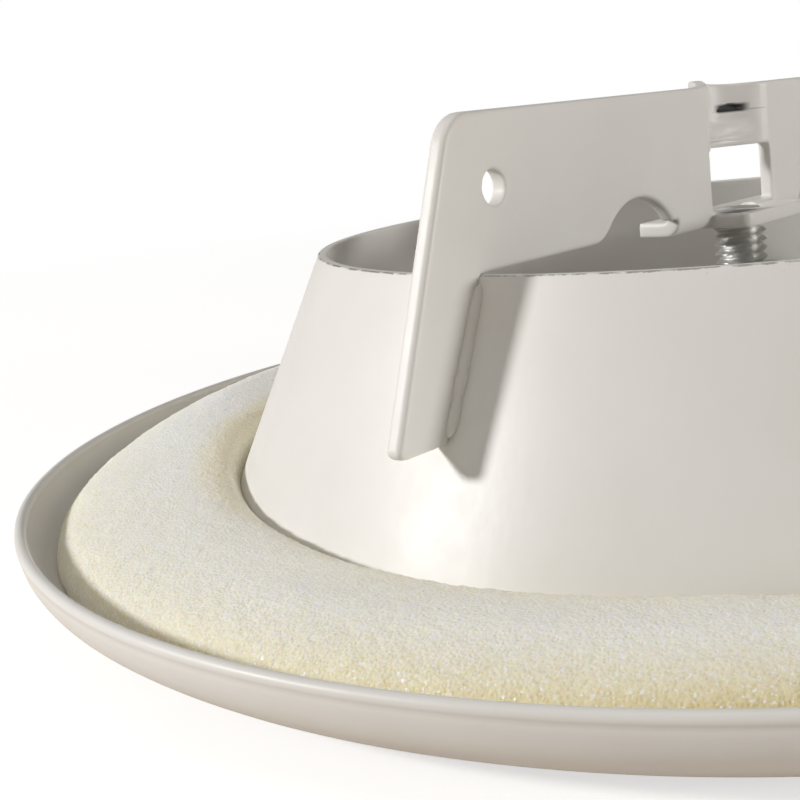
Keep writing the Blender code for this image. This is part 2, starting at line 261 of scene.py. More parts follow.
def hand_spun(points):
    """Leaves the pressed sheet very slightly out of round, as its reflections show."""
    turns = np.arctan2(points[:, 1], points[:, 0])
    height = points[:, 2] / RING_H
    wave = 0.05 * np.sin(5 * turns + 1.3) + 0.035 * np.sin(11 * turns + 4 * height)
    wave += 0.02 * np.sin(23 * turns + 2.1)
    wave *= np.clip(1.2 - np.abs(height - 0.55) * 2, 0, 1)
    scale = 1 + wave / np.hypot(points[:, 0], points[:, 1])
    return points * np.stack([scale, scale, np.ones_like(scale)], axis=1)


def make_ring():
    shell = lathe("ring_shell", ring_profile(), warp=hand_spun)
    return finish_piece(shell, "ring", ["valve_ring"], RING_PAINT, 60)


# ---------------------------------------------------------------- foam

FOAM_SEGMENTS = 1240
FOAM_SPANS = (8, 16, 14, 12, 8, 6, 2)  # steps in each span of a section, up over the crest
FOAM_TOP = sum(FOAM_SPANS) + 1  # points of a section that aren't underneath
FOAM_BLUR = 30  # segments over which the shape is averaged, each way
FOAM_CLEAR = 0.05
# direction from the centre in degrees: crest radius, crest height, height where it meets the throat,
# fullness of the slope between them, radius where it comes down on the dish
FOAM_SHAPE = {
    20: (68.5, 9.6, 6.0, 0.60, 78.0),
    60: (70.5, 9.9, 6.0, 0.62, 78.0),
    85: (71.0, 10.1, 6.0, 0.66, 78.6),
    101: (71.4, 10.5, 6.0, 0.66, 79.0),
    110: (69.2, 10.4, 6.1, 0.72, 78.8),
    120: (66.8, 10.0, 6.3, 0.78, 78.8),
    131: (64.8, 9.5, 6.7, 0.84, 79.0),
    145: (63.8, 9.1, 6.7, 0.82, 79.0),
    156: (65.6, 8.8, 6.6, 0.76, 78.9),
    168: (68.4, 8.9, 6.2, 0.72, 78.8),
    180: (70.2, 9.0, 5.9, 0.70, 78.6),
    200: (70.0, 9.2, 5.7, 0.68, 78.4),
    250: (69.2, 9.5, 5.6, 0.64, 78.0),
    290: (67.6, 9.7, 5.9, 0.60, 78.2),
    330: (69.6, 9.4, 6.3, 0.60, 78.0),
}
# share of the way from the crest out to the dish, and share of the drop by then
FOAM_SHOULDER = ((0.45, 0.10), (0.80, 0.32), (0.96, 0.60))
# lumps that are moved into the mesh: depth, size and an offset along x or y that sets them apart
FOAM_LUMPS = ((0.22, 11, (0, 0)), (0.05, 2.4, (40, 0)), (0.04, 0.7, (0, 40)))
FOAM_GRAIN = 0.045


def smooth_line(points, counts):
    """Catmull-Rom curve through the points, with that many samples in each span."""
    p = np.array([points[0], *points, points[-1]], float)
    out = []
    for i, count in enumerate(counts):
        a, b, c, d = p[i : i + 4]
        t = np.linspace(0, 1, count, endpoint=False)[:, None]
        out.append(
            0.5 * (2 * b + (c - a) * t + (2 * a - 5 * b + 4 * c - d) * t**2
                   + (3 * b - a - 3 * c + d) * t**3)
        )
    return np.concatenate(out + [p[-2][None]])


def foam_section(crest_r, crest_h, foot_h, fullness, out_r):
    """One cross-section of the gasket as (radius, height): up over the crest, then back underneath."""
    foot_r = throat_radius(RING_H - foot_h) + FOAM_CLEAR
    rise = crest_h - foot_h
    out_h = DISH_WALL_R - sqrt((DISH_WALL_R - SHEET) ** 2 - (out_r - FACE_R) ** 2) + 0.12
    run, fall = out_r - crest_r, crest_h - out_h
    over = [(foot_r, foot_h), (foot_r + 0.28 * (crest_r - foot_r), foot_h + fullness * rise)]
    over += [(crest_r, crest_h)]
    over += [(crest_r + a * run, crest_h - b * fall) for a, b in FOAM_SHOULDER]
    over += [(out_r, out_h), (out_r - 0.8, out_h - 0.3)]
    wall_r, bend_r = DISH_WALL_R - SHEET - FOAM_CLEAR, FLARE_R - FOAM_CLEAR
    under = arc((FACE_R, DISH_WALL_R), wall_r, -pi / 3 - 0.02, -pi / 2, 9)
    under += arc(flare_centre(), bend_r, 1.5 * pi, pi + LEAN, 9)
    return np.concatenate([smooth_line(over, FOAM_SPANS), np.array(under)])


def foam_sections(turns):
    """The gasket's cross-section in each of the directions, blended between those of FOAM_SHAPE."""
    keys = sorted(FOAM_SHAPE)
    table = np.array([FOAM_SHAPE[k] for k in keys])
    blur = np.hanning(2 * FOAM_BLUR + 1)
    blur /= blur.sum()
    columns = []
    for i in range(table.shape[1]):
        c = np.interp(turns, keys, table[:, i], period=360)
        c = np.concatenate([c[-FOAM_BLUR:], c, c[:FOAM_BLUR]])
        columns.append(np.convolve(c, blur, "valid"))
    return np.array([foam_section(*row) for row in np.stack(columns, axis=1)])


def foam_relief(points):
    """How far each point stands out: soft lumps and single cells, fading out at the gasket's edges."""
    rows, columns = points.shape[:2]
    rng = np.random.default_rng(SEED)
    grain = rng.normal(0, 1, (rows, columns))
    grain = 0.7 * grain + 0.3 * np.roll(grain, 1, axis=0)
    fade = np.zeros(columns)
    fade[:FOAM_TOP] = np.minimum(np.arange(FOAM_TOP) + 1, 6) / 6
    lumps = np.zeros((rows, columns))
    for i in range(rows):
        for j in range(FOAM_TOP):
            x, y, z = points[i, j]
            for depth, size, (off_x, off_y) in FOAM_LUMPS:
                where = (x / size + off_x, y / size + off_y, z / size)
                lumps[i, j] += depth * noise.noise(where)
    return (lumps + FOAM_GRAIN * grain) * fade


def make_foam():
    """The gasket: a crest that wanders round the ring, soft lumps and an open-cell surface."""
    turns = np.linspace(0, 360, FOAM_SEGMENTS, endpoint=False)
    sections = foam_sections(turns)
    a = np.radians(turns)[:, None]
    radius, height = sections[..., 0], sections[..., 1]
    points = np.stack([radius * np.cos(a), radius * np.sin(a), height], axis=-1)
    step = np.roll(sections, -1, axis=1) - np.roll(sections, 1, axis=1)
    step /= np.linalg.norm(step, axis=2, keepdims=True) + 1e-9
    normals = np.stack([-step[..., 1] * np.cos(a), -step[..., 1] * np.sin(a), step[..., 0]], axis=-1)
    points += normals * foam_relief(points)[..., None]
    faces = grid_faces(*points.shape[:2], True, True)
    foam = closed_mesh("foam_ring", points.reshape(-1, 3), faces)
    finish_piece(foam, "ring", ["foam_gasket"], FOAM)
    return foam


# ---------------------------------------------------------------- bridge

BRIDGE_VOXEL = 0.18
BRIDGE_SMOOTH_STEPS = 6
BRIDGE_KEEP = 0.4  # share of the remesh's faces that is kept
ROLL_OVER = 0.5  # the punch draws the near side's edges in by this much
BAR_LOW = 0.05  # the bar's lower edge clears the throat by this much
BURIED = 0.3  # depth that the legs go into the throat's wall
TOE_BACK, TOE_TURN = 1.45, 0.37
STRAP_ENDS = 0.9  # length of strap that is buried in the bar at each end
SLIT_X, SLIT_HALF, SLIT_RISE = 3.2, 1.2, 0.8  # the lens-shaped gap between the straps
BULGE_X, BULGE_HALF, BULGE_RISE = -2.6, 3.4, 0.7  # the upper strap's swell above the bar's edge
PRESS_DEPTH, PRESS_REACH = 4.3, 7.7
PRESS_START, PRESS_RAMP = 0.8, 0.6  # the press starts this far below the window's top, over this height
ROD_SIDES = 48


def prism(name, layers, place):
    """A solid from equal closed outlines, given as (outline, w); place(u, v, w) gives the point."""
    points = [place(u, v, w) for outline, w in layers for u, v in outline]
    return closed_mesh(name, points, tube_faces(len(layers), len(layers[0][0])))


def inset(outline, amount, held):
    """The outline drawn inwards by amount, apart from the points for which held(u, v) is true."""
    p = np.array(outline, float)
    area = np.sum(p[:, 0] * np.roll(p[:, 1], -1) - p[:, 1] * np.roll(p[:, 0], -1))
    edge = np.roll(p, -1, axis=0) - p
    edge /= np.linalg.norm(edge, axis=1, keepdims=True)
    inward = np.stack([-edge[:, 1], edge[:, 0]], axis=1) * np.sign(area)
    both = inward + np.roll(inward, 1, axis=0)
    both /= np.linalg.norm(both, axis=1, keepdims=True)
    reach = amount / np.clip(np.sum(both * inward, axis=1), 0.6, 1)
    reach = np.where([held(*q) for q in p], 0, reach)
    return [tuple(q) for q in p + both * reach[:, None]]


def upright(x, z, y):
    return x, y, RING_H + z


def lengthways(y, z, x):
    return x, y, RING_H + z


def level(x, y, z):
    return x, y, z


def cut(target, cutter):
    """Takes the cutter out of the target, and removes the cutter."""
    step = target.modifiers.new("cut", "BOOLEAN")
    step.operation = "DIFFERENCE"
    step.solver = "EXACT"
    step.object = cutter
    applied(target)
    bpy.data.objects.remove(cutter)
    return target


def notch_outline(foot_z):
    """The half-round notch with its small lip, from the bar's lower edge up to the foot."""
    rise = -NOTCH_Z / NOTCH_R
    lower_turn = pi - atan2(rise, sqrt(1 - rise**2))
    foot_rise = (foot_z - NOTCH_Z) / NOTCH_R
    upper_turn = atan2(foot_rise, sqrt(1 - foot_rise**2))
    notch = arc((-NOTCH_X, NOTCH_Z), NOTCH_R, lower_turn - radians(12), upper_turn, 30)
    first = notch[0]
    start = (-NOTCH_X + NOTCH_R * cos(lower_turn) - NOTCH_LIP_R, BAR_LOW)
    bend = (first[0] - 0.55 * (first[0] - start[0]), BAR_LOW)
    lip = [
        tuple((1 - t) ** 2 * np.array(start) + 2 * t * (1 - t) * np.array(bend)
              + t * t * np.array(first))
        for t in np.linspace(0, 1, 7)[:-1]
    ]
    return lip + notch


def half_outline():
    """Left half of the bar as (x, height above the throat)."""
    corner_turn = pi / 2 - LEG_LEAN
    reach = LEG_CORNER_R * tan(corner_turn / 2)
    corner = (-(LEG_TOP_X - reach), BAR_RISE - LEG_CORNER_R)
    toe_out = -(LEG_TOP_X + LEG_SLANT * (BAR_RISE + LEG_DROP))
    foot_z = FOOT_BEND_R + FOOT_LOW
    outline = [(-WINDOW_W / 2, BAR_RISE)]
    outline += arc(corner, LEG_CORNER_R, pi / 2, pi / 2 + corner_turn, 14)
    outline += arc((toe_out + TOE_BACK, -LEG_DROP + LEG_TOE_R), LEG_TOE_R, pi + TOE_TURN, 1.5 * pi, 6)
    outline += [(-(throat_radius(LEG_DROP) - BURIED), -LEG_DROP)]
    outline += [(-(THROAT_R - BURIED), -BURIED), (-(THROAT_R - BURIED), BAR_LOW)]
    return outline + notch_outline(foot_z) + [(-WINDOW_W / 2, foot_z)]


def strap(lower_edge, upper_edge, near, far):
    """A flat strap across the window, each edge given as height over x; its ends bury in the bar."""
    xs = np.linspace(-WINDOW_W / 2 - STRAP_ENDS, WINDOW_W / 2 + STRAP_ENDS, 49)
    outline = [(x, lower_edge(x)) for x in xs] + [(x, upper_edge(x)) for x in xs[::-1]]
    return prism("strap", [(outline, near), (outline, far)], upright)


def straps():
    """Two straps with a slit between them, closed behind by a thin web."""
    half = BAR_T / 2 - 0.05

    def slit_top(x):
        return STRAP_SPLIT + 0.06 + SLIT_RISE * exp(-(((x - SLIT_X) / SLIT_HALF) ** 2))

    def upper_top(x):
        return BAR_RISE + BULGE_RISE * exp(-(((x - BULGE_X) / BULGE_HALF) ** 2))

    return [
        strap(lambda x: WINDOW_HIGH, lambda x: STRAP_SPLIT - 0.06, -half, half),
        strap(slit_top, upper_top, -half, half),
        strap(lambda x: STRAP_SPLIT - 1, lambda x: STRAP_SPLIT + 1.2, 0.35, half),
    ]


def press_back(obj):
    """Presses the straps to the far side in one smooth swell."""
    for vertex in obj.data.vertices:
        x, z = vertex.co.x, vertex.co.z - RING_H
        if abs(x) < PRESS_REACH:
            share = min(1.0, max(0.0, (z - WINDOW_HIGH + PRESS_START) / PRESS_RAMP))
            vertex.co.y += PRESS_DEPTH * (0.5 + 0.5 * cos(pi * x / PRESS_REACH)) * share


def foot_flange():
    top = FOOT_LOW + BAR_T
    centre = (FOOT_BEND_R - BAR_T / 2, FOOT_LOW + FOOT_BEND_R)
    web_top = centre[1] + 1.2
    outline = [(-BAR_T / 2, web_top)]
    outline += arc(centre, FOOT_BEND_R, pi, 1.5 * pi, 12)
    outline += [(FOOT_DEPTH, FOOT_LOW), (FOOT_DEPTH, top)]
    outline += arc(centre, FOOT_BEND_R - BAR_T, 1.5 * pi, pi, 6)
    outline += [(BAR_T / 2, web_top)]
    return prism("foot_flange", [(outline, -FOOT_HALF), (outline, FOOT_HALF)], lengthways)


def tongue():
    half, r = WINDOW_W / 2 - 0.05, TONGUE_CORNER_R
    outline = [(half, 0.9), (-half, 0.9)]
    outline += arc((-half + r, -TONGUE_DEPTH + r), r, pi, 1.5 * pi, 8)
    outline += arc((half - r, -TONGUE_DEPTH + r), r, 1.5 * pi, 2 * pi, 8)
    low = RING_H + FOOT_LOW
    return prism("tongue", [(outline, low), (outline, low + BAR_T)], level)


def rod(radius, low, high, place, centre):
    outline = arc(centre, radius, 0, 2 * pi * (ROD_SIDES - 1) / ROD_SIDES, ROD_SIDES - 1)
    return prism("rod", [(outline, low), (outline, high)], place)


def window_box():
    """Cuts the foot and the tongue clear of the window."""
    half, deep = WINDOW_W / 2 - 0.02, 1.5
    outline = [(-half, -deep), (half, -deep), (half, deep), (-half, deep)]
    low, high = RING_H + WINDOW_LOW, RING_H + WINDOW_HIGH - 1
    return prism("window", [(outline, low), (outline, high)], level)


def joined(parts, name):
    """One mesh of several closed bodies, which the voxel remesh then fuses."""
    points, faces = [], []
    for part in parts:
        start = len(points)
        points += [tuple(v.co) for v in part.data.vertices]
        faces += [tuple(start + v for v in f.vertices) for f in part.data.polygons]
        bpy.data.objects.remove(part)
    return mesh_object(name, points, faces)


def paint_rounded(obj, voxel, smooth_steps, keep):
    """Fuses the bodies and rounds every edge as a thick powder coat does."""
    remesh = obj.modifiers.new("fuse", "REMESH")
    remesh.mode = "VOXEL"
    remesh.voxel_size = voxel
    smooth = obj.modifiers.new("round", "SMOOTH")
    smooth.factor = 0.5
    smooth.iterations = smooth_steps
    thin = obj.modifiers.new("thin", "DECIMATE")
    thin.ratio = keep
    return applied(obj)


def in_middle(x, z):
    return abs(x) < WINDOW_W / 2 + 0.2


def make_bridge():
    outline = half_outline()
    halves = []
    for side in (-1, 1):
        shape = [(-side * x, z) for x, z in outline]
        layers = [
            (inset(shape, ROLL_OVER * (1 - sin(a)), in_middle), -BAR_T / 2 + ROLL_OVER * (1 - cos(a)))
            for a in (0, pi / 8, pi / 4, 3 * pi / 8, pi / 2)
        ]
        half = prism("half", [*layers, (shape, BAR_T / 2)], upright)
        hole = rod(END_HOLE_R, -3, 3, upright, (side * END_HOLE_X, END_HOLE_Z))
        halves.append(cut(half, hole))
    parts = [*halves, *straps()]
    for part in (foot_flange(), tongue()):
        cut(part, window_box())
        thread = rod(SPINDLE_R - THREAD_DEPTH + 0.1, RING_H - 4, RING_H + 3, level, (0, 0))
        parts.append(cut(part, thread))
    bridge = joined(parts, "bridge")
    paint_rounded(bridge, BRIDGE_VOXEL, BRIDGE_SMOOTH_STEPS, BRIDGE_KEEP)
    press_back(bridge)
    return finish_piece(bridge, "ring", ["bridge_bar"], BAR_PAINT)


# ---------------------------------------------------------------- welds

WELD_SECTION = 20
WELD_LENGTH_STEPS = 90
WELD_LOW, WELD_LENGTH, WELD_R = -12.9, 12.2, 0.62


def make_weld(end, side):
    """A lumpy bead in the corner between a leg and the throat, under the bar's paint."""
    along = -1 if end == "left" else 1
    across = -1 if side == "near" else 1
    points = []
    for i in range(WELD_LENGTH_STEPS + 1):
        t = i / WELD_LENGTH_STEPS
        z = WELD_LOW + WELD_LENGTH * t
        lump = noise.noise((z * 0.55, along * 9.0, across * 5.0))
        fine = noise.noise((z * 1.9, along * 3.0, across * 7.0))
        taper = sqrt(max(0.0, 1 - (2 * t - 1) ** 8))
        radius = (WELD_R + 0.20 * lump + 0.10 * fine) * taper + 0.02
        y = across * (BAR_T / 2 + 0.12 + 0.05 * lump)
        r = throat_radius(-z) + 0.10
        centre = Vector((along * sqrt(r * r - y * y), y, RING_H + z))
        for j in range(WELD_SECTION):
            a = 2 * pi * j / WELD_SECTION
            points.append(centre + Vector((along * cos(a), across * sin(a), 0)) * radius)
    faces = tube_faces(WELD_LENGTH_STEPS + 1, WELD_SECTION)
    bead = closed_mesh(f"weld_bead_{end}_{side}", points, faces)
    return finish_piece(bead, "ring", [f"weld_{end}_{side}"], BAR_PAINT)


# ---------------------------------------------------------------- disc and fasteners


DISC_BEND_R, DISC_EDGE_R = 1.5, 0.45
DISC_STEPS = 24
DISC_SWEEP = 1.6  # power of the curve from the disc's flat middle up to its edge
HUB_WALL_LEAN = 0.6
HUB_BORE_CLEAR = 0.25
DIMPLE_AT_R, DIMPLE_R, DIMPLE_DEPTH, DIMPLES = 15.3, 1.1, 0.3, 3


def make_disc():
    run = DISC_R - DISC_BEND_R - DISC_FLAT_R
    under, over = [(0, DISC_LOW), (8, DISC_LOW)], [(0, DISC_LOW + SHEET), (8, DISC_LOW + SHEET)]
    for i in range(DISC_STEPS + 1):
        share = i / DISC_STEPS
        z = DISC_LOW + (DISC_EDGE_LOW - DISC_LOW) * share**DISC_SWEEP
        under.append((DISC_FLAT_R + run * share, z))
        over.append((DISC_FLAT_R + (run - 0.2) * share, z + SHEET))
    lip = arc((DISC_R - DISC_EDGE_R, DISC_EDGE_TOP - DISC_EDGE_R), DISC_EDGE_R, 0, pi, 8)
    bend = arc((DISC_R - DISC_BEND_R, DISC_EDGE_LOW + DISC_BEND_R), DISC_BEND_R, -pi / 2, 0, 8)
    profile = under + bend[1:] + lip + [(DISC_R - SHEET, DISC_EDGE_LOW + SHEET + 0.7)]
    disc = lathe("disc_shell", profile + over[::-1], 224)
    return finish_piece(disc, "disc", ["valve_disc"], DISC_PAINT, 60)


def make_hub():
    """A pressed hat of zinc-plated steel with three spot welds round its brim."""
    brim = DISC_LOW + SHEET
    bore = SPINDLE_R + HUB_BORE_CLEAR
    outer = [(bore, HUB_TOP), (HUB_CROWN_R, HUB_TOP), (HUB_CROWN_R + HUB_WALL_LEAN, brim + SHEET),
             (HUB_BRIM_R, brim + SHEET), (HUB_BRIM_R, brim + 0.05)]
    inner = [(HUB_CROWN_R - 0.4, brim + 0.05), (HUB_CROWN_R - SHEET, HUB_TOP - SHEET),
             (bore, HUB_TOP - SHEET)]
    loop = rounded(outer + inner, [0.25, 1.1, 0.5, 0.3, 0.2, 0.3, 0.5, 0.2], 6)
    brim_fill = [(r, brim + SHEET) for r in np.linspace(13.6, 17.2, 16)]
    at = next(i for i, p in enumerate(loop) if p[0] > 13.4 and abs(p[1] - brim - SHEET) < 0.02)
    loop = loop[:at] + brim_fill + loop[at:]

    def dimpled(points):
        top = points[:, 2] > brim + SHEET - 0.02
        for k in range(DIMPLES):
            a = radians(30 + 120 * k)
            off = np.hypot(points[:, 0] - DIMPLE_AT_R * cos(a), points[:, 1] - DIMPLE_AT_R * sin(a))
            points[:, 2] -= np.where(top, DIMPLE_DEPTH * np.exp(-((off / DIMPLE_R) ** 4)), 0)
        return points

    hub = lathe("hub_shell", loop, 240, warp=dimpled)
    return finish_piece(hub, "disc", ["disc_hub"], ZINC, 50)


def thread_row(z, low, tip, turns):
    """The spindle's (radius, height) in each direction at one height."""
    run_out = np.clip((z - low - 1.0) / 1.5, 0, 1)
    chamfered = SPINDLE_R - max(0.0, z - (tip - 0.7))
    row = []
    for a in turns:
        phase = (z / THREAD_PITCH - a / (2 * pi)) % 1
        groove = np.clip(1.25 * (1 - abs(2 * phase - 1)) - 0.1, 0, 1)
        row.append((min(SPINDLE_R - THREAD_DEPTH * groove * run_out, chamfered), z))
    return row


def make_spindle():
    """M6 spindle with a rolled thread and a low round head inside the hub."""
    top = HUB_TOP - SHEET - 0.3
    tip = RING_H + FOOT_LOW + BAR_T
    per_turn, segments = 12, 48
    count = int((tip - top) / THREAD_PITCH * per_turn)
    turns = np.linspace(0, 2 * pi, segments, endpoint=False)
    head = [(0.02, top - HEAD_T), (HEAD_R - 0.5, top - HEAD_T), (HEAD_R - 0.15, top - HEAD_T + 0.15),
            (HEAD_R, top - HEAD_T + 0.5), (HEAD_R, top - 0.4), (HEAD_R - 0.12, top - 0.12),
            (HEAD_R - 0.4, top), (SPINDLE_R - 0.15, top)]
    rows = [[place] * segments for place in head]
    for i in range(count + 1):
        rows.append(thread_row(top + 0.1 + (tip - top - 0.1) * i / count, top, tip, turns))
    rows.append([(0.02, tip)] * segments)
    points = [(r * cos(a), r * sin(a), z) for row in rows for (r, z), a in zip(row, turns)]
    spindle = closed_mesh("spindle_rod", points, tube_faces(len(rows), segments))
    return finish_piece(spindle, "spindle", ["spindle"], ZINC, 40)


def make_nut(name, node, body, low):
    """A thin hexagon nut, chamfered at both faces."""
    high, segments = low + NUT_T, 144
    bore, chamfer = SPINDLE_R + 0.05, 0.45
    turns = np.linspace(0, 2 * pi, segments, endpoint=False)
    hexagon = NUT_FLATS / 2 / np.cos((turns + pi / 6) % (pi / 3) - pi / 6)
    face_r = NUT_FLATS / 2 * 0.97
    rows = []
    for t in np.linspace(0, 1, 13):
        z = low + NUT_T * t
        depth = min(z - low, high - z)
        rows.append((np.minimum(hexagon, face_r + depth / tan(radians(30))), z))
    inside = [(bore + chamfer, high), (bore, high - chamfer), (bore, low + chamfer),
              (bore + chamfer, low)]
    rows += [(np.full(segments, r), z) for r, z in inside]
    points = [(r * cos(a), r * sin(a), z) for radii, z in rows for r, a in zip(radii, turns)]
    nut = closed_mesh(name, points, grid_faces(len(rows), segments, True, True))
    return finish_piece(nut, body, [node], ZINC, 35)


def make_hub_washer():
    low, high = HUB_TOP + 0.3, HUB_TOP + 1.1
    bore, outer = SPINDLE_R + HUB_BORE_CLEAR, 6.0
    loop = rounded([(bore, low), (outer, low), (outer, high), (bore, high)], [0.05, 0.1, 0.22, 0.1])
    washer = lathe("hub_washer_disc", loop, 96)
    return finish_piece(washer, "disc", ["hub_washer"], ZINC, 40)


def make_lock_washer():
    """A split spring washer: its ends stand a little apart in height."""
    top = RING_H - LOCK_WASHER_DROP
    inner, outer, thick, rise = SPINDLE_R + 0.3, 5.6, 1.15, 0.42
    gap, steps = radians(7), 96
    section = rounded([(inner, 0), (outer, 0), (outer, thick), (inner, thick)], [0.12] * 4, 3)
    points = []
    for i in range(steps + 1):
        t = i / steps
        a = gap + (2 * pi - 2 * gap) * t
        z0 = top - thick - rise + rise * t
        points += [(r * cos(a), r * sin(a), z0 + z) for r, z in section]
    washer = closed_mesh("lock_washer_coil", points, tube_faces(steps + 1, len(section)))
    return finish_piece(washer, "lock_washer", ["lock_washer"], ZINC, 40)


# ---------------------------------------------------------------- materials


class Look:
    """A material under construction: its nodes, and one Principled shader."""

    def __init__(self, name):
        self.material = bpy.data.materials.new(name)
        self.material.use_nodes = True
        self.tree = self.material.node_tree
        self.tree.nodes.clear()
        output = self.tree.nodes.new("ShaderNodeOutputMaterial")
        self.shader = self.tree.nodes.new("ShaderNodeBsdfPrincipled")
        self.tree.links.new(self.shader.outputs[0], output.inputs[0])
        self.place = self.tree.nodes.new("ShaderNodeTexCoord").outputs["Object"]

    def node(self, kind, inputs=None, out=0, **settings):
        made = self.tree.nodes.new("ShaderNode" + kind)
        for key, value in settings.items():
            setattr(made, key, value)
        for key, value in (inputs or {}).items():
            if isinstance(value, bpy.types.NodeSocket):
                self.tree.links.new(value, made.inputs[key])
            else:
                made.inputs[key].default_value = value
        return made.outputs[out]

    def noise(self, size, detail=2.0, rough=0.5, stretch=None):
        """Noise whose features are about this many millimetres across."""
        where = self.place
        if stretch:
            where = self.node("Mapping", {"Vector": where, "Scale": stretch})
        return self.node(
            "TexNoise",
            {"Vector": where, "Scale": 1000 / size, "Detail": detail, "Roughness": rough},
        )

    def ramp(self, value, low, high, to_low=0.0, to_high=1.0):
        return self.node(
            "MapRange",
            {"Value": value, "From Min": low, "From Max": high, "To Min": to_low, "To Max": to_high},
        )

    def ramp_mm(self, value, low, high, to_low=0.0, to_high=1.0):
        """The same for a length, between two lengths in millimetres."""
        return self.ramp(value, low * MM, high * MM, to_low, to_high)

    def axes(self):
        """X, Y and Z in the object's own space."""
        return self.node("SeparateXYZ", {"Vector": self.place}).node.outputs[:]

    def axis_distance(self):
        """Distance from the object's own Z axis."""
        flat = self.node("Mapping", {"Vector": self.place, "Scale": (1, 1, 0)})
        return self.node("VectorMath", {0: flat}, out="Value", operation="LENGTH")

    def towards(self, direction):
        """Distance from the origin along a direction."""
        return self.node(
            "VectorMath", {0: self.place, 1: direction}, out="Value", operation="DOT_PRODUCT"
        )

    def math(self, operation, a, b):
        return self.node("Math", {0: a, 1: b}, operation=operation)

    def times(self, a, b):
        return self.math("MULTIPLY", a, b)

    def either(self, a, b):
        return self.math("MAXIMUM", a, b)

    def mix(self, factor, a, b):
        """Colour a where the factor is 0, colour b where it is 1."""
        return self.node("Mix", {"Factor": factor, 6: a, 7: b}, out=2, data_type="RGBA")

    def bump(self, height, distance, strength=1.0, normal=None):
        inputs = {"Height": height, "Distance": distance * MM, "Strength": strength}
        if normal:
            inputs["Normal"] = normal
        return self.node("Bump", inputs)

    def set(self, **values):
        names = {
            "colour": "Base Color", "rough": "Roughness", "metal": "Metallic", "normal": "Normal",
            "subsurface": "Subsurface Weight", "reach": "Subsurface Radius",
            "reach_scale": "Subsurface Scale", "specular": "Specular IOR Level",
        }
        for key, value in values.items():
            socket = self.shader.inputs[names[key]]
            if isinstance(value, bpy.types.NodeSocket):
                self.tree.links.new(value, socket)
            else:
                socket.default_value = value


PAINT = (0.79, 0.78, 0.76, 1)
PAINT_SHADE = (0.76, 0.745, 0.715, 1)
DUST = (0.30, 0.26, 0.22, 1)
BARE = (0.30, 0.30, 0.31, 1)
# colour of the painted shade in the bar's slit and in spots at the window's lower edge
MIDDLE_SHADE_DARK = (0.045, 0.048, 0.055, 1)
# pale cell edges; the hollows' colour is painted shade, darker and yellower
CELL_EDGE, CELL_HOLLOW_SHADE = (0.97, 0.97, 0.93, 1), (0.88, 0.855, 0.72, 1)
# painted shade: darker, yellower colours towards the bottom on one side and on the steep inner slope
SHADED_EDGE, SHADED_HOLLOW = (0.80, 0.69, 0.34, 1), (0.62, 0.46, 0.15, 1)
CELL_GLINT = (0.99, 0.99, 0.98, 1)
SHADE_TOWARDS = (0.26, -0.966, 0.0)  # painted shade, darker and yellower, is stronger on this side
STEEP_TOWARDS = (-0.574, 0.819, 0.0)  # and painted shade also lies on its steep inner slope on this one
ZINC_LIGHT, ZINC_CLOUD, ZINC_TINT = (0.70, 0.70, 0.69, 1), (0.62, 0.62, 0.60, 1), (0.62, 0.60, 0.48, 1)


def powder_coat(name, extra=None):
    """Semi-gloss powder coat: orange peel, faint mottling and a few specks of dust under the paint."""
    look = Look(name)
    colour = look.mix(look.ramp(look.noise(14, 3), 0.35, 0.7), PAINT, PAINT_SHADE)
    cells = look.node("TexVoronoi", {"Vector": look.place, "Scale": 1000 / 5.5}, out="Distance")
    pick = look.node("SeparateColor", {"Color": cells.node.outputs["Color"]})
    speck = look.times(look.ramp(cells, 0.016, 0.03, 1.0, 0.0), look.ramp(pick, 0.55, 0.56))
    colour = look.mix(look.times(speck, 0.55), colour, DUST)
    peel = look.bump(look.noise(1.3, 2), 0.030, 0.55)
    peel = look.bump(look.noise(0.25, 1), 0.006, 0.5, peel)
    rough = look.ramp(look.noise(6, 3), 0.3, 0.7, 0.38, 0.47)
    metal = 0.0
    if extra:
        colour, rough, metal = extra(look, colour, rough)
    look.set(colour=colour, rough=rough, metal=metal, normal=peel, specular=0.4)
    return look.material


def sheared_edge(look, colour, rough):
    """Bare steel shows in a thin broken line along the throat's outer top edge."""
    height = look.axes()[2]
    ragged = look.ramp(look.noise(0.8, 4, 0.7), 0.3, 0.7, -0.06 * MM, 0.06 * MM)
    over = look.ramp_mm(look.math("ADD", height, ragged), RING_H - 0.11, RING_H - 0.08)
    corner = look.ramp_mm(look.axis_distance(), THROAT_R - 0.22, THROAT_R - 0.16)
    broken = look.ramp(look.noise(1.8, 3, 0.6), 0.42, 0.52)
    line = look.times(look.times(over, corner), broken)
    near_edge = look.ramp_mm(height, RING_H - 1.0, RING_H - 0.2)
    fleck = look.times(look.ramp(look.noise(0.35, 1), 0.72, 0.76), near_edge)
    mask = look.either(line, look.times(fleck, 0.35))
    rough = look.times(rough, look.ramp(mask, 0, 1, 1.0, 0.85))
    return look.mix(look.times(mask, 0.8), colour, BARE), rough, look.times(mask, 0.4)


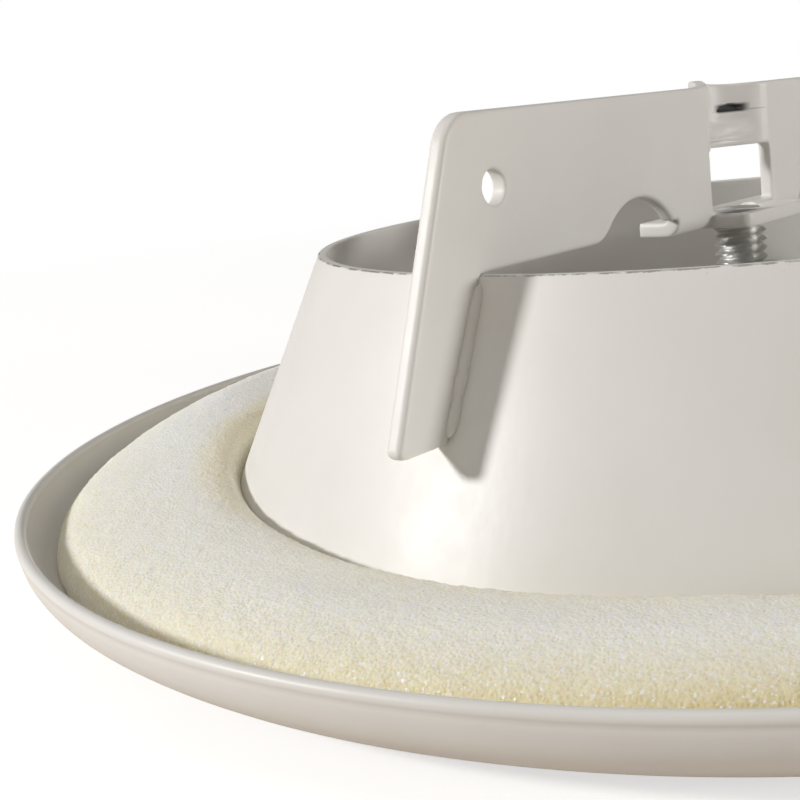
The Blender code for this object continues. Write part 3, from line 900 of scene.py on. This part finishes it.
def painted_middle_shade(look, colour, rough):
    """Painted shade: dark colour in the slit between the straps and in spots along the window's lower edge.
    """
    x, y, z = look.axes()

    def within(value, middle, core, edge):
        """1 inside the core's half width round the middle, 0 outside the edge's."""
        away = look.math("ABSOLUTE", look.math("SUBTRACT", value, middle * MM), 0.0)
        return look.ramp_mm(away, edge, core)

    # painted shade in the lens-shaped slit and along the thin crack between the straps
    slit = look.times(within(z, RING_H + 11.3, 0.3, 0.6), within(x, SLIT_X, 1.1, 1.9))
    crack = look.times(within(z, RING_H + STRAP_SPLIT, 0.03, 0.11), within(x, 4.0, 2.4, 3.0))
    slit = look.either(slit, look.times(crack, 0.4))
    # painted shade in spots along the window's lower edge
    fold = look.times(within(z, RING_H + 0.4, 0.35, 0.5), within(x, -4.4, 1.6, 2.6))
    fold = look.times(fold, within(y, -2.4, 1.0, 1.9))
    fold = look.times(fold, look.ramp(look.noise(2.6, 1, 0.5), 0.42, 0.52))
    mask = look.either(look.times(slit, 0.95), look.times(fold, 0.85))
    rough = look.math("SUBTRACT", rough, look.times(mask, 0.08))
    return look.mix(mask, colour, MIDDLE_SHADE_DARK), rough, 0.0


def foam_material():
    """Open-cell foam: pale cell edges; painted shade makes the cell hollows, the lower part on one side and
    the steep inner slope darker and yellower; and a little light through it.
    """
    look = Look("cell_foam")
    cells = look.node(
        "TexVoronoi", {"Vector": look.place, "Scale": 1000 / 0.32, "Randomness": 1.0}, out="Distance"
    )
    # painted shade: the cell hollows are darker and yellower, in clumps
    clumps = look.ramp(look.noise(0.55, 3, 0.7), 0.38, 0.62)
    deep = look.times(clumps, look.ramp(cells, 0.1, 0.6, 1.0, 0.35))
    # painted shade: darker and yellower towards the bottom on one side, and on the steep inner slope
    low = look.ramp_mm(look.axes()[2], 9.4, 6.6)
    shade_side = look.ramp_mm(look.towards(SHADE_TOWARDS), -40, 50, 0.35, 1.0)
    steep = look.ramp_mm(look.towards(STEEP_TOWARDS), 42, 60, 0, 0.5)
    inner = look.times(look.ramp_mm(look.axis_distance(), 65.5, 62.0), steep)
    yellow = look.either(look.times(low, shade_side), inner)
    edges = look.mix(yellow, CELL_EDGE, SHADED_EDGE)
    hollows = look.mix(yellow, CELL_HOLLOW_SHADE, SHADED_HOLLOW)
    colour = look.mix(look.times(deep, 0.75), edges, hollows)
    glint = look.ramp(look.noise(0.32, 1), 0.62, 0.67)
    colour = look.mix(look.times(glint, 0.85), colour, CELL_GLINT)
    surface = look.bump(look.ramp(cells, 0.1, 0.7), 0.09, 0.7)
    surface = look.bump(look.noise(0.18, 1, 0.6), 0.05, 0.7, surface)
    rough = look.ramp(glint, 0, 1, 0.8, 0.3)
    look.set(colour=colour, rough=rough, normal=surface, specular=0.35)
    look.set(subsurface=0.6, reach=(1.0, 0.85, 0.45), reach_scale=2.4 * MM)
    return look.material


def zinc_plate():
    """Bright zinc: fine turning lines, cloudy tint and small scuffs."""
    look = Look("zinc_plate")
    cloud = look.ramp(look.noise(5, 4), 0.3, 0.7)
    colour = look.mix(cloud, ZINC_LIGHT, ZINC_CLOUD)
    tint = look.ramp(look.noise(9, 2), 0.45, 0.8, 0.0, 0.35)
    colour = look.mix(tint, colour, ZINC_TINT)
    lines = look.noise(0.9, 3, 0.6, stretch=(1, 1, 14))
    surface = look.bump(lines, 0.012, 0.6)
    surface = look.bump(look.noise(0.2, 1), 0.004, 0.5, surface)
    rough = look.ramp(look.noise(2.2, 4, 0.7), 0.3, 0.75, 0.36, 0.55)
    look.set(colour=colour, rough=rough, metal=1.0, normal=surface)
    return look.material


RING_PAINT = powder_coat("ring_paint", sheared_edge)
# the bar's paint carries painted shade in the slit and in spots at the window's lower edge
BAR_PAINT = powder_coat("bar_paint", painted_middle_shade)
DISC_PAINT = powder_coat("disc_paint")
FOAM = foam_material()
ZINC = zinc_plate()


# ---------------------------------------------------------------- stage


AMBIENT, AMBIENT_TINT = 0.235, (1.0, 0.95, 0.89, 1)
FLOOR_BOUNCE = (0.80, 0.73, 0.65, 1)
FLOOR_HALF, FLOOR_DROP = 6000, -0.2
FLOOR_NEAR, FLOOR_FAR = 100, 450  # the shadow's floor goes over to plain white between these distances


def make_floor():
    """A pale floor: white to the eye, with a soft shadow, and a warm bounce on to the object."""
    corners = [(x * FLOOR_HALF, y * FLOOR_HALF, FLOOR_DROP) for x, y in ((-1, -1), (1, -1), (1, 1), (-1, 1))]
    floor = mesh_object("floor", corners, [(0, 1, 2, 3)])
    floor.data.transform(Matrix.Scale(MM, 4))
    look = Look("floor_white")
    away = look.axis_distance()
    seen = look.node("LightPath", out="Is Camera Ray")
    look.shader.inputs["Emission Color"].default_value = (1, 1, 1, 1)
    glow = look.times(look.ramp_mm(away, FLOOR_NEAR, FLOOR_FAR, 0.62, 1.0), seen)
    look.tree.links.new(glow, look.shader.inputs["Emission Strength"])
    shade = look.ramp_mm(away, FLOOR_NEAR, FLOOR_FAR, 0.55, 0.0)
    grey = look.node("CombineColor", {0: shade, 1: shade, 2: shade})
    look.set(colour=look.mix(seen, FLOOR_BOUNCE, grey), rough=0.9, specular=0.0)
    floor.data.materials.append(look.material)


def make_world():
    """White to the camera, a dim warm light to everything else."""
    world = bpy.data.worlds.new("studio")
    world.use_nodes = True
    tree = world.node_tree
    tree.nodes.clear()
    output = tree.nodes.new("ShaderNodeOutputWorld")
    seen = tree.nodes.new("ShaderNodeBackground")
    seen.inputs["Color"].default_value = (1, 1, 1, 1)
    light = tree.nodes.new("ShaderNodeBackground")
    light.inputs["Color"].default_value = AMBIENT_TINT
    light.inputs["Strength"].default_value = AMBIENT
    path = tree.nodes.new("ShaderNodeLightPath")
    mix = tree.nodes.new("ShaderNodeMixShader")
    tree.links.new(path.outputs["Is Camera Ray"], mix.inputs[0])
    tree.links.new(light.outputs[0], mix.inputs[1])
    tree.links.new(seen.outputs[0], mix.inputs[2])
    tree.links.new(mix.outputs[0], output.inputs[0])
    bpy.context.scene.world = world


LIGHTS_AIM_M = 0.02
# name: direction round the object and height in degrees, distance and size in metres, light on a
# surface that faces it (1 makes a white one white), colour
LIGHTS = {
    "key": (140, 23, 1.2, 0.16, 0.73, (1.0, 0.99, 0.98)),
    "fill": (284, 5, 0.8, 0.13, 0.41, (1.0, 0.985, 0.96)),
    "top": (200, 84, 1.0, 0.60, 0.12, (1.0, 0.98, 0.95)),
}


def make_lights():
    target = Vector((0, 0, LIGHTS_AIM_M))
    for name, (turn, rise, distance, size, brightness, colour) in LIGHTS.items():
        a, e = radians(turn), radians(rise)
        away = Vector((cos(a) * cos(e), sin(a) * cos(e), sin(e)))
        data = bpy.data.lights.new(name, "AREA")
        data.shape = "DISK"
        data.size = size
        data.energy = brightness * pi**2 * distance**2
        data.color = colour
        lamp = bpy.data.objects.new(name, data)
        lamp.location = target + away * distance
        lamp.rotation_mode = "QUATERNION"
        lamp.rotation_quaternion = (-away).to_track_quat("-Z", "Y")
        bpy.context.scene.collection.objects.link(lamp)


CAMERA_AT_M = Vector((-0.13624, -0.07474, 0.04489))
CAMERA_FORWARD = Vector((0.76486, 0.60548, -0.21996)).normalized()
CAMERA_RIGHT = Vector((0.60118, -0.79357, -0.09398))
LENS_MM, SENSOR_MM, SHIFT_X = 59.804, 36, -0.1625


def make_camera():
    data = bpy.data.cameras.new("camera")
    data.lens = LENS_MM
    data.sensor_width = SENSOR_MM
    data.shift_x = SHIFT_X
    data.clip_start, data.clip_end = 0.005, 50
    camera = bpy.data.objects.new("camera", data)
    right = (CAMERA_RIGHT - CAMERA_RIGHT.dot(CAMERA_FORWARD) * CAMERA_FORWARD).normalized()
    up = right.cross(CAMERA_FORWARD)
    turn = Matrix((right, up, -CAMERA_FORWARD)).transposed()
    camera.matrix_world = Matrix.Translation(CAMERA_AT_M) @ turn.to_4x4()
    bpy.context.scene.collection.objects.link(camera)
    bpy.context.scene.camera = camera


make_ring()
make_foam()
make_bridge()
for weld_end in ("left", "right"):
    for weld_side in ("near", "far"):
        make_weld(weld_end, weld_side)
make_disc()
make_hub()
make_hub_washer()
make_nut("hub_nut_hex", "hub_nut", "disc", HUB_NUT_LOW)
make_spindle()
make_lock_washer()
make_nut("lock_nut_hex", "lock_nut", "lock_nut", LOCK_NUT_LOW)

make_floor()
make_world()
make_lights()
make_camera()
bpy.context.scene.view_settings.view_transform = "Standard"
